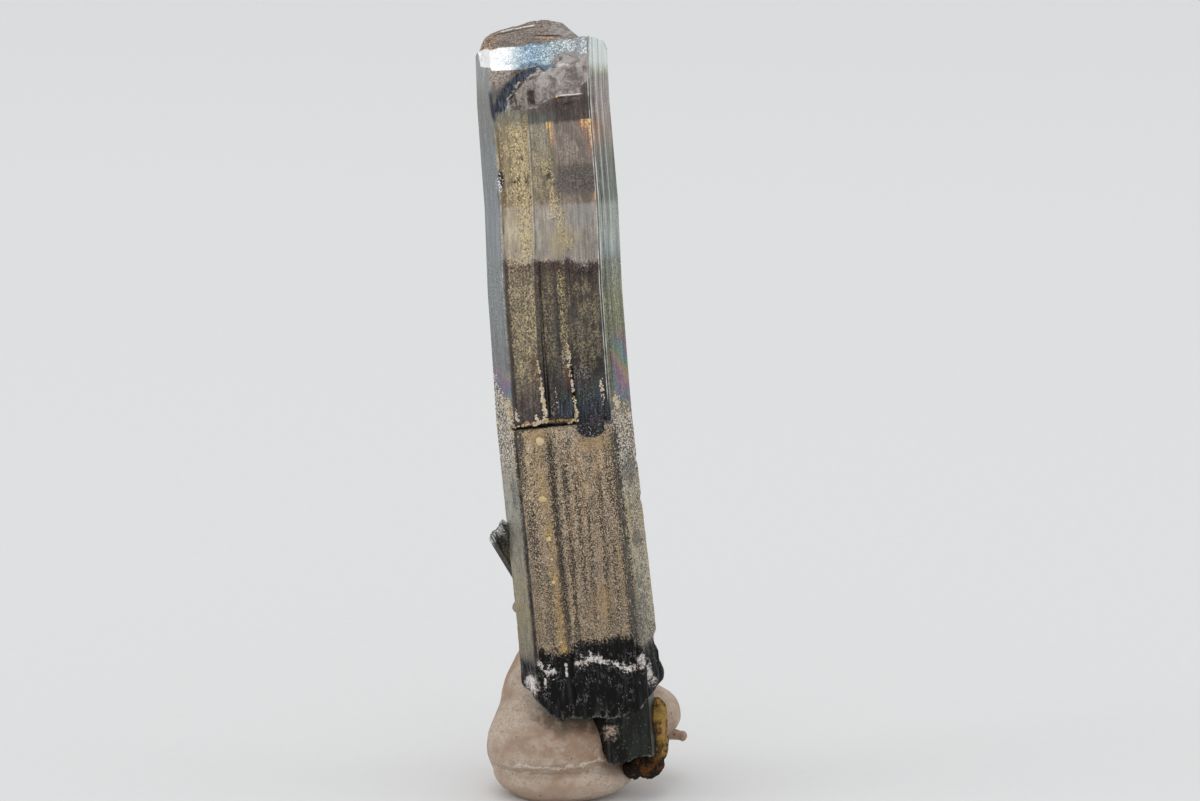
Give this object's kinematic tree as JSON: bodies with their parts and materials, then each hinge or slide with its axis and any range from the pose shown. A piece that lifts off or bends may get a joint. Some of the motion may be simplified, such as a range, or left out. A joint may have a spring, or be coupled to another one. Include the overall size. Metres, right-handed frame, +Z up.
{
  "type": "stibnite crystal in mounting putty",
  "caption": "Slightly bent, striated prismatic stibnite crystal with a broken foot and a rusty crust, standing upright in a lump of mounting putty with a flat underside.",
  "frame": {"origin": "on the putty's flat foot, near its middle", "axes": "+Z up along the crystal's length, -Y towards the crystal's broad striated face, +X to the right of that face"},
  "size_m": [0.0165, 0.0125, 0.061],
  "materials": {
    "stibnite": "satin",
    "ochre_crust": "matte",
    "putty": "matte"
  },
  "bodies": {
    "root": {"stibnite": "stibnite", "ochre_crust": "ochre_crust", "putty": "putty"}
  },
  "joints": []
}
